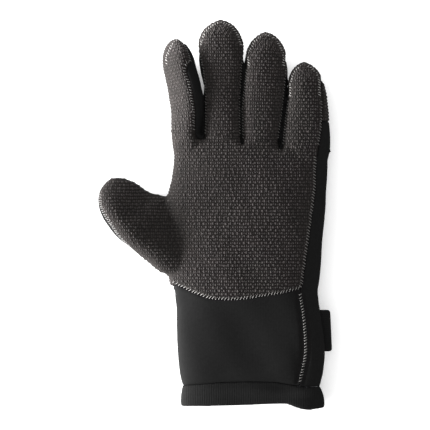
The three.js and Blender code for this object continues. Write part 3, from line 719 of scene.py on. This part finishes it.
nubs = with_second_loops(*(np.concatenate(part) for part in zip(*groups)))
on_cloth = abs(reading(outside, nubs[0])) < 0.25
in_palm_ground, in_side_ground = reading(palm_ground, nubs[0]), reading(side_ground, nubs[0])


def onto_face(points, face, up, most=2.0):
    """Points slid along their own ways up, and no further than most, onto a cloth's face."""
    lift = np.zeros((len(points), 1))
    for _ in range(4):
        here = points + up * lift
        steep = (reading(face, here + up * 0.5) - reading(face, here - up * 0.5))[:, None]
        lift = np.clip(lift - reading(face, here)[:, None] / np.maximum(steep, 0.2), -0.3, most)
    return points + up * lift


def nub_mesh(name, chosen, face):
    """A low bar of yarn at each chosen place on a cloth's face, its underside sunk in the cloth."""
    places, planes, thick = (column[chosen] for column in nubs)
    sides = 6
    up = facing(places)
    places = onto_face(places, face, up)
    run = unit(np.cross(planes, up))
    slant = rng.normal(0, 0.18, (len(places), 1))
    run = unit(run + slant * np.cross(up, run))
    side = np.cross(up, run)
    size = (thick * rng.uniform(0.74, 1.12, len(places)))[:, None, None, None]
    places = places + run * rng.normal(0, 0.17, (len(places), 1))
    places = places + side * rng.normal(0, 0.15, (len(places), 1))
    turn = (np.arange(sides) + 0.5) * 2 * np.pi / sides
    round_x = np.sign(np.cos(turn)) * abs(np.cos(turn)) ** 0.8
    rings = []
    for share, height in ((1, -0.35), (0.78, 0.62)):
        rings.append(run[:, None] * (share * NUB_LENGTH / 2 * round_x)[:, None]
                     + side[:, None] * (share * NUB_WIDTH / 2 * np.sin(turn))[:, None]
                     + up[:, None] * NUB_HEIGHT * height)
    points = np.stack(rings, 1) * size + places[:, None, None]
    top = places + up * (NUB_HEIGHT * size[:, 0, 0])
    points = np.concatenate([points.reshape(len(places), -1, 3), top[:, None]], 1)
    k = np.arange(sides)
    after = (k + 1) % sides
    quads = np.stack([k, after, after + sides, k + sides], 1)
    tops = np.stack([k + sides, after + sides, np.full(sides, 2 * sides)], 1)
    base = (np.arange(len(places)) * points.shape[1])[:, None, None]
    faces = ((quads[None] + base).reshape(-1, 4).tolist() + (tops[None] + base).reshape(-1, 3).tolist()
             + (k[::-1][None, None] + base).reshape(-1, sides).tolist())
    piece = new_piece(name, points.reshape(-1, 3), faces)
    tone = piece.data.attributes.new("tone", "FLOAT", "POINT")
    tone.data.foreach_set("value", np.repeat(rng.uniform(0, 1, len(places)), points.shape[1]))
    piece.data.materials.append(yarn)


# Spun aramid yarn, undyed and dyed strands twisted together. It gives each nub a matt grey-brown
# top with fine strands along it, some nubs lighter than others. The strands are 0.2 mm in real
# yarn and 0.45 mm here, so that they show.
STRAND = 0.45
yarn, place = new_material("aramid_yarn_spun", (350, 1000, 1000))
strands = add(yarn, "TexNoise", {"Vector": place, "Scale": 1 / STRAND, "Detail": 3})["Fac"]
tone = add(yarn, "Attribute", {}, attribute_name="tone")["Fac"]
shade = add(yarn, "MixRGB", {"Fac": tone, "Color1": linear("#221f1e"), "Color2": linear("#363130")})
shade = add(yarn, "MixRGB", {"Fac": strands, "Color1": shade["Color"], "Color2": linear("#1f1d1c")})
grain = add(yarn, "Bump", {"Height": strands, "Strength": 0.7, "Distance": 0.0003})
cloth = add(yarn, "BsdfPrincipled", {"Base Color": shade["Color"], "Roughness": 0.85, "IOR": 1.55,
                                     "Specular IOR Level": 0.2, "Normal": grain["Normal"]})
add(yarn, "OutputMaterial", {"Surface": cloth["BSDF"]})

NUB_MARGIN = 0.9  # how near to a seam the middle of a nub may lie
nub_mesh("palm_panel_nubs", on_cloth & (in_palm_ground < -NUB_MARGIN), knit_face)

# The little finger's side.
# A gore of the same nubbed knit, over the outer part of the little finger. It is sewn in between
# the palm panel and the back.
sew_in("little_finger_side", common(unfaced, side_ground + SEAM / 2), knit)
on_side = on_cloth & (in_side_ground < -NUB_MARGIN) & (in_palm_ground > NUB_MARGIN)
nub_mesh("little_finger_side_nubs", on_side, outside)

# The strips between the fingers.
# Plain neoprene, so that the fingers rub smooth side to smooth side. Each strip runs up the side of
# one finger, and down the next by way of the crotch.

# Nylon jersey laminated to black neoprene. It gives a smooth near-black face with a dull sheen and
# fine lengthwise ribs. The ribs are 0.5 mm in real jersey and 1.2 mm here, so that they show.
RIB = 1.2
WAVE = 0.314  # the wave texture's period at a Scale of 1
jersey, place = new_material("nylon_jersey_on_neoprene")
ribs = add(jersey, "TexWave", {"Vector": place, "Scale": WAVE / RIB, "Distortion": 0.6,
                               "Detail": 1.5}, bands_direction="X")["Fac"]
LINT, PATCH = 1.5, 26  # from one fleck of lint, or one paler patch, to the next
lint = add(jersey, "TexNoise", {"Vector": place, "Scale": 1 / LINT, "Detail": 6,
                                "Roughness": 0.7})["Fac"]
patches = add(jersey, "TexNoise", {"Vector": place, "Scale": 1 / PATCH, "Detail": 3})["Fac"]
shade = add(jersey, "MixRGB", {"Fac": patches, "Color1": linear("#0c0c0c"),
                               "Color2": linear("#121212")})
shade = add(jersey, "MixRGB", {"Fac": lint, "Color1": shade["Color"], "Color2": linear("#1d1d1d")})
height = add(jersey, "Math", {0: ribs, 1: lint}, operation="ADD")["Value"]
grain = add(jersey, "Bump", {"Height": height, "Strength": 0.15, "Distance": 0.0001})
cloth = add(jersey, "BsdfPrincipled", {"Base Color": shade["Color"], "Roughness": 0.85, "IOR": 1.5,
                                       "Specular IOR Level": 0.005, "Normal": grain["Normal"]})
add(jersey, "OutputMaterial", {"Surface": cloth["BSDF"]})

for name, strip_ground in strip_grounds.items():
    sew_in(name, common(unfaced, strip_ground + SEAM / 2), jersey)

# The front of the cuff.
# A plain neoprene panel from the palm panel's lower edge down to the hem. It ends at a curved seam
# on the little finger's side, where it is butted to the back panel.
sew_in("cuff_front", common(unfaced, cuff_ground + SEAM / 2), jersey)

# The back panel.
# The largest piece of plain neoprene: the back of the hand and of every digit, and the cuff's back
# and side. The tab is let into a slit in its side.
TAB_LENGTH, TAB_REACH, TAB_LAYER, TAB_FOLD = 31.0, 6.2, 1.3, 0.5
TAB_THICK = 2 * TAB_LAYER + TAB_FOLD
TAB_PLACE = 0.35  # its middle, as a share of the cuff's length below the wrist
tab_y = -TAB_PLACE * CUFF_LENGTH
tab_row = smooth_rows(hand_rows, np.array(tab_y))
tab_x, tab_z = tab_row[2], tab_row[3] / 2 - PRESSED_FLAT
slit = np.maximum.reduce(np.broadcast_arrays(
    abs(plan_y - tab_y)[..., None] - TAB_LENGTH / 2 - SEAM,
    abs(plan_x - tab_x)[..., None] - 2 * WALL,
    abs(grid_z - tab_z) - TAB_THICK / 2 - SEAM))
sew_in("back_panel", common(common(body, back_ground + SEAM / 2), -slit), jersey)

# The hem.
# A band of the same neoprene, turned over the mouth's edge and sewn through. The stitches draw it
# into fine ribs, and its right part has folded and hangs lower.
hem_solid = common(common(shell, -above_hem), above_mouth, 2.0)


def variant(material, name, changes):
    """A copy of a material, with some inputs of its nodes changed."""
    copy = material.copy()
    copy.name = name
    for kind, inputs in changes.items():
        node = next(n for n in copy.node_tree.nodes if n.bl_idname == "ShaderNode" + kind)
        for key, value in inputs.items():
            node.inputs[key].default_value = value
    return copy


# The same jersey drawn up by the hem's stitches: it gives soft upright ribs, coarser and deeper
# than the cloth's own.
GATHER = 1.7
gathered = variant(jersey, "nylon_jersey_gathered", {
    "TexWave": {"Scale": WAVE / GATHER, "Distortion": 1.5},
    "Bump": {"Strength": 0.4, "Distance": 0.0002}})
sew_in("hem", hem_solid, gathered)

# The seams of the palm panel.
# A grey polyester thread goes over the two edges and through both, in short slanted stitches.
# Round the fingertips the thread is paler, as a painted highlight, and its stitches lie further in over
# the panel.
thread_points, thread_faces = [], []


def evenly(path, pitch):
    """Points a pitch apart along a path, and the path's direction at each."""
    lengths = np.r_[0, np.cumsum(np.linalg.norm(np.diff(path, axis=0), axis=1))]
    places = np.arange(pitch / 2, lengths[-1], pitch)

    def at(s):
        return np.stack([np.interp(s, lengths, path[:, k]) for k in range(3)], 1)

    return at(places), unit(at(places + 0.4) - at(places - 0.4))


SHOULDER_POINT = 58  # the last of the edge's points before a digit's round tip


def panel_edge(d, sign):
    """The palm panel's edge on one side of a digit, from its root to its tip."""
    shoulder = 1 - d["dome"]
    along = np.r_[np.linspace(0.02, shoulder, SHOULDER_POINT + 2),
                  shoulder + d["dome"] * np.sin(np.linspace(0.02, 1.56, 60))]
    row = smooth_rows(d["rows"], along)
    w = np.clip((along - shoulder) / d["dome"], 0, 1)
    share = np.maximum(1 - w * w, 1e-6) ** (1 / DOME_POWER)
    limit = row[:, 6] if sign < 0 else row[:, 7]
    high = np.maximum(share ** FULLNESS - np.minimum(limit, share) ** FULLNESS, 0) ** (1 / FULLNESS)
    v = np.maximum(np.where(limit < share, high, row[:, 8]), row[:, 8] * np.minimum(share, 1))
    u = sign * np.maximum(share ** FULLNESS - abs(v) ** FULLNESS, 0) ** (1 / FULLNESS)
    points = digit_point(d, along, u, v)
    points[:, 2] = np.maximum(points[:, 2], SIDE_SEAM)
    return onto_surface(points)


def sew(starts, ends, high, radius):
    """Adds stitches: tubes of thread from hole to hole, laid over the cloth between them."""
    sides, shares = 6, np.linspace(0, 1, 6)
    line = starts[:, None] + (ends - starts)[:, None] * shares[:, None]
    flat = onto_surface(line.reshape(-1, 3))
    up = facing(flat)
    bow = np.tile(high * (4 * shares * (1 - shares)) ** 0.6 - 0.3, len(starts))[:, None]
    centres = (onto_face(flat, knit_face, up, 1.0) + up * bow).reshape(line.shape)
    up = up.reshape(line.shape)
    side = unit(np.cross(up, np.gradient(centres, axis=1)))
    turn = np.arange(sides) * 2 * np.pi / sides
    rings = (centres[:, :, None] + radius * (side[:, :, None] * np.cos(turn)[:, None]
                                             + up[:, :, None] * np.sin(turn)[:, None]))
    base = sum(len(p) for p in thread_points)
    k, s = np.meshgrid(np.arange(sides), np.arange(len(shares) - 1))
    quad = np.stack([s * sides + k, s * sides + (k + 1) % sides,
                     (s + 1) * sides + (k + 1) % sides, (s + 1) * sides + k], -1).reshape(-1, 4)
    each = (base + np.arange(len(starts)) * len(shares) * sides)[:, None, None]
    thread_faces.extend((quad[None] + each).reshape(-1, 4).tolist())
    for cap in (np.arange(sides)[::-1], np.arange(sides) + (len(shares) - 1) * sides):
        thread_faces.extend((cap[None, None] + each).reshape(-1, sides).tolist())
    thread_points.append(rings.reshape(-1, 3))


def overcast(path, pitch, length, slant, inward, radius=0.25, high=0.5):
    """Slanted stitches over a seam; inward is how far their middles lie to its left."""
    spots, ahead = evenly(path, pitch)
    across = unit(np.cross(facing(spots), ahead))
    spots = spots + across * inward
    reach = across * length / 2 + ahead * slant / 2
    wobble = rng.normal(0, 0.12, spots.shape)
    sew(onto_surface(spots - reach + wobble), onto_surface(spots + reach + wobble), high, radius)


def sewn(name):
    """Makes the stitches gathered so far into one piece, and starts the next set."""
    piece = new_piece(name, np.concatenate(thread_points), thread_faces)
    thread_points.clear()
    thread_faces.clear()
    return piece.data


overcast(on_top(lower_edge[3:]), pitch=2.3, length=2.6, slant=1.6, inward=0.6)
overcast(on_top(right_edge), pitch=2.2, length=2.6, slant=1.2, inward=0.8, high=0.6)
tip_paths = []
for d in fingers + [thumb]:
    for sign in (-1, 1):
        path = panel_edge(d, sign)
        if d is thumb and sign < 0:
            outer_edge = path[20:-16]  # short of the root and the tip, and sewn twice
            overcast(outer_edge, pitch=1.6, length=2.6, slant=0.8, inward=0.2, high=0.75)
            overcast(outer_edge, pitch=2.3, length=0.8, slant=1.1, inward=-2.7, high=0.75)
            continue
        overcast(path[:SHOULDER_POINT + 1], pitch=2.1, length=2.0, slant=0.9, inward=0.6 * sign,
                 radius=0.21)
        tip = path[SHOULDER_POINT:]
        if d is thumb or (d is index and sign > 0):
            overcast(tip, pitch=1.9, length=2.2, slant=1.1, inward=0.2 * sign, radius=0.22, high=0.6)
        else:
            tip_paths.append((tip, sign))
palm_thread = sewn("palm_seam_thread")
for path, sign in tip_paths:
    outward = unit(np.gradient(path[:, :2], axis=0))[:, ::-1] * [sign, -sign]
    over_edge = on_top(path[3:, :2] - 1.5 * outward[3:])
    overcast(over_edge, pitch=1.9, length=2.3, slant=1.1, inward=0)
tip_thread = sewn("fingertip_seam_thread")

# Spun polyester sewing thread, light grey. It gives matt pale dashes with a fine twist.
TWIST = 0.5
polyester, place = new_material("polyester_thread_spun")
twist = add(polyester, "TexNoise", {"Vector": place, "Scale": 1 / TWIST, "Detail": 3})["Fac"]
shade = add(polyester, "MixRGB", {"Fac": twist, "Color1": linear("#807e7c"),
                                  "Color2": linear("#434140")})
grain = add(polyester, "Bump", {"Height": twist, "Strength": 0.5, "Distance": 0.0002})
cloth = add(polyester, "BsdfPrincipled", {"Base Color": shade["Color"], "Roughness": 0.7, "IOR": 1.5,
                                          "Specular IOR Level": 0.3, "Normal": grain["Normal"]})
add(polyester, "OutputMaterial", {"Surface": cloth["BSDF"]})
palm_thread.materials.append(polyester)

# The same thread round the fingertips, paler as a painted highlight: it gives pale short bars.
tip_thread.materials.append(variant(polyester, "polyester_thread_painted_highlight", {
    "MixRGB": {"Color1": linear("#a8a6a3"), "Color2": linear("#6e6c6a")}}))

# The cuff's seam.
# A flatlock seam: a row of short slanted stitches lies flat over the two butted edges, between two
# lines where it pulls the neoprene in.
below_palm = cuff_seam[(cuff_seam[:, 1] < -1) & (cuff_seam[:, 1] > -69)]
overcast(on_top(below_palm), pitch=2.15, length=2.7, slant=-1.2, inward=0, radius=0.3, high=0.4)
cuff_thread = sewn("cuff_seam_thread")

# The same thread in dark grey: it gives a row of dull beads, less bright than the palm's seam.
cuff_thread.materials.append(variant(polyester, "polyester_thread_dark", {
    "MixRGB": {"Color1": linear("#6a6866"), "Color2": linear("#333231")}}))

# The tab.
# A loop of black polypropylene webbing with rounded corners. It is folded once, and its two ends
# are let into the slit in the side of the cuff.
CORNER = 2.2
TAB_FLARE = 0.7  # how far its outer edge leans out at each end
start = tab_x - WALL - 1
bend = tab_x + TAB_REACH - TAB_THICK / 2
around = np.linspace(-np.pi / 2, np.pi / 2, 9)
straight = np.linspace(start, bend, 9)[:-1]


def fold(thick):
    """One face of the folded webbing in section: out along one layer and back along the other."""
    z = thick / 2
    return ([(x, -z) for x in straight] + [(bend + z * np.cos(a), z * np.sin(a)) for a in around]
            + [(x, z) for x in straight[::-1]])


loop = np.array(fold(TAB_THICK) + fold(TAB_FOLD)[::-1])
stations = np.linspace(-0.5, 0.5, 125) * TAB_LENGTH
in_from_end = np.clip(abs(stations) - (TAB_LENGTH / 2 - CORNER), 0, CORNER)
short = (CORNER - np.sqrt(CORNER ** 2 - in_from_end ** 2)) / (bend + TAB_THICK / 2 - start)
RIB_PITCH = 1.5  # from one warp yarn of the webbing to the next
swell = 1 + 0.05 * np.cos(2 * np.pi * stations / RIB_PITCH) - 0.25 * (in_from_end / CORNER) ** 4
rows = np.stack([
    start + (loop[:, 0] - start) * (1 - short[:, None]) - stations[:, None] / TAB_LENGTH * 2 * TAB_FLARE,
    np.broadcast_to(tab_y + stations[:, None], (len(stations), len(loop))),
    tab_z + loop[:, 1] * np.where(abs(loop[:, 1]) > 0.9 * TAB_THICK / 2, swell[:, None], 1)], -1)
count = len(loop)
s, k = np.meshgrid(np.arange(len(stations) - 1), np.arange(count), indexing="ij")
quads = np.stack([s * count + k, (s + 1) * count + k, (s + 1) * count + (k + 1) % count,
                  s * count + (k + 1) % count], -1).reshape(-1, 4).tolist()
for first, flip in ((0, 1), ((len(stations) - 1) * count, -1)):
    quads += [(first + k, first + k + 1, first + count - 2 - k, first + count - 1 - k)[::flip]
              for k in range(count // 2 - 1)]
tab = new_piece("side_tab_webbing", rows.reshape(-1, 3), quads)
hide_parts("side_tab")

# Woven polypropylene webbing. It gives a flat black with a slight plastic gleam on each rib.
PICK = 0.8  # from one weft yarn to the next
webbing, place = new_material("polypropylene_webbing_woven")
picks = add(webbing, "TexWave", {"Vector": place, "Scale": WAVE / PICK, "Distortion": 0.4},
            bands_direction="X")["Fac"]
warp = add(webbing, "TexWave", {"Vector": place, "Scale": WAVE / RIB_PITCH},
           bands_direction="Y")["Fac"]
weave = add(webbing, "Math", {0: picks, 1: warp}, operation="MULTIPLY")["Value"]
shade = add(webbing, "MixRGB", {"Fac": weave, "Color1": linear("#090909"),
                                "Color2": linear("#141414")})
grain = add(webbing, "Bump", {"Height": weave, "Strength": 0.6, "Distance": 0.0002})
cloth = add(webbing, "BsdfPrincipled", {"Base Color": shade["Color"], "Roughness": 0.6, "IOR": 1.49,
                                        "Specular IOR Level": 0.08, "Normal": grain["Normal"]})
add(webbing, "OutputMaterial", {"Surface": cloth["BSDF"]})
tab.data.materials.append(webbing)

# The studio.
# A white floor that is lit a little from below, as on a light table, a soft white room that is
# darker to the right, and one long low soft light from the left, which rakes over the cloth.
floor_mesh = bpy.data.meshes.new("floor")
floor_mesh.from_pydata([(-4, -4, 0), (4, -4, 0), (4, 4, 0), (-4, 4, 0)], [], [(0, 1, 2, 3)])
floor = new_object("floor", floor_mesh)
board, place = new_material("painted_board_matt", (1, 1, 1))
mottle = add(board, "TexNoise", {"Vector": place, "Scale": 3})["Fac"]
shade = add(board, "MixRGB", {"Fac": mottle, "Color1": linear("#fafafa"), "Color2": linear("#fdfdfd")})
paint = add(board, "BsdfPrincipled", {"Base Color": shade["Color"], "Roughness": 0.9,
                                      "Emission Color": (1, 1, 1, 1), "Emission Strength": 0.22})
add(board, "OutputMaterial", {"Surface": paint["BSDF"]})
floor_mesh.materials.append(board)

room = bpy.data.worlds.new("studio")
room.use_nodes = True
room.node_tree.nodes.clear()
direction = add(room, "TexCoord", {})["Generated"]
to_right = add(room, "SeparateXYZ", {"Vector": direction})["X"]
level = add(room, "MapRange", {"Value": to_right, "From Min": -1, "To Min": 1.35, "To Max": 0.85})
background = add(room, "Background", {"Color": (1, 1, 1, 1), "Strength": level["Result"]})
add(room, "OutputWorld", {"Surface": background["Background"]})
scene = bpy.context.scene
scene.world = room

key = new_object("key", bpy.data.lights.new("key", "AREA"))
key.data.shape = "RECTANGLE"
key.data.size, key.data.size_y = 0.35, 2.2
key.data.energy = 305
key.location = (-1.5, 0.06, 0.16)
key.rotation_euler = (0, np.radians(-86), 0)

# The camera looks straight down from far off, and its frame is centred on the photograph's.
PHOTO_WIDTH = 430
MM_PER_PIXEL = 0.75
ORIGIN_PIXEL = (250.7, 290.0)
camera = new_object("camera", bpy.data.cameras.new("camera"))
scene.camera = camera
HEIGHT = 2.2
SENSOR = 36
camera.data.sensor_width = SENSOR
camera.data.lens = SENSOR * HEIGHT / (PHOTO_WIDTH * MM_PER_PIXEL / 1000)
camera.data.clip_end = 50
camera.location = ((PHOTO_WIDTH / 2 - ORIGIN_PIXEL[0]) * MM_PER_PIXEL / 1000,
                   (ORIGIN_PIXEL[1] - PHOTO_WIDTH / 2) * MM_PER_PIXEL / 1000, HEIGHT)
scene.view_settings.view_transform = "Standard"
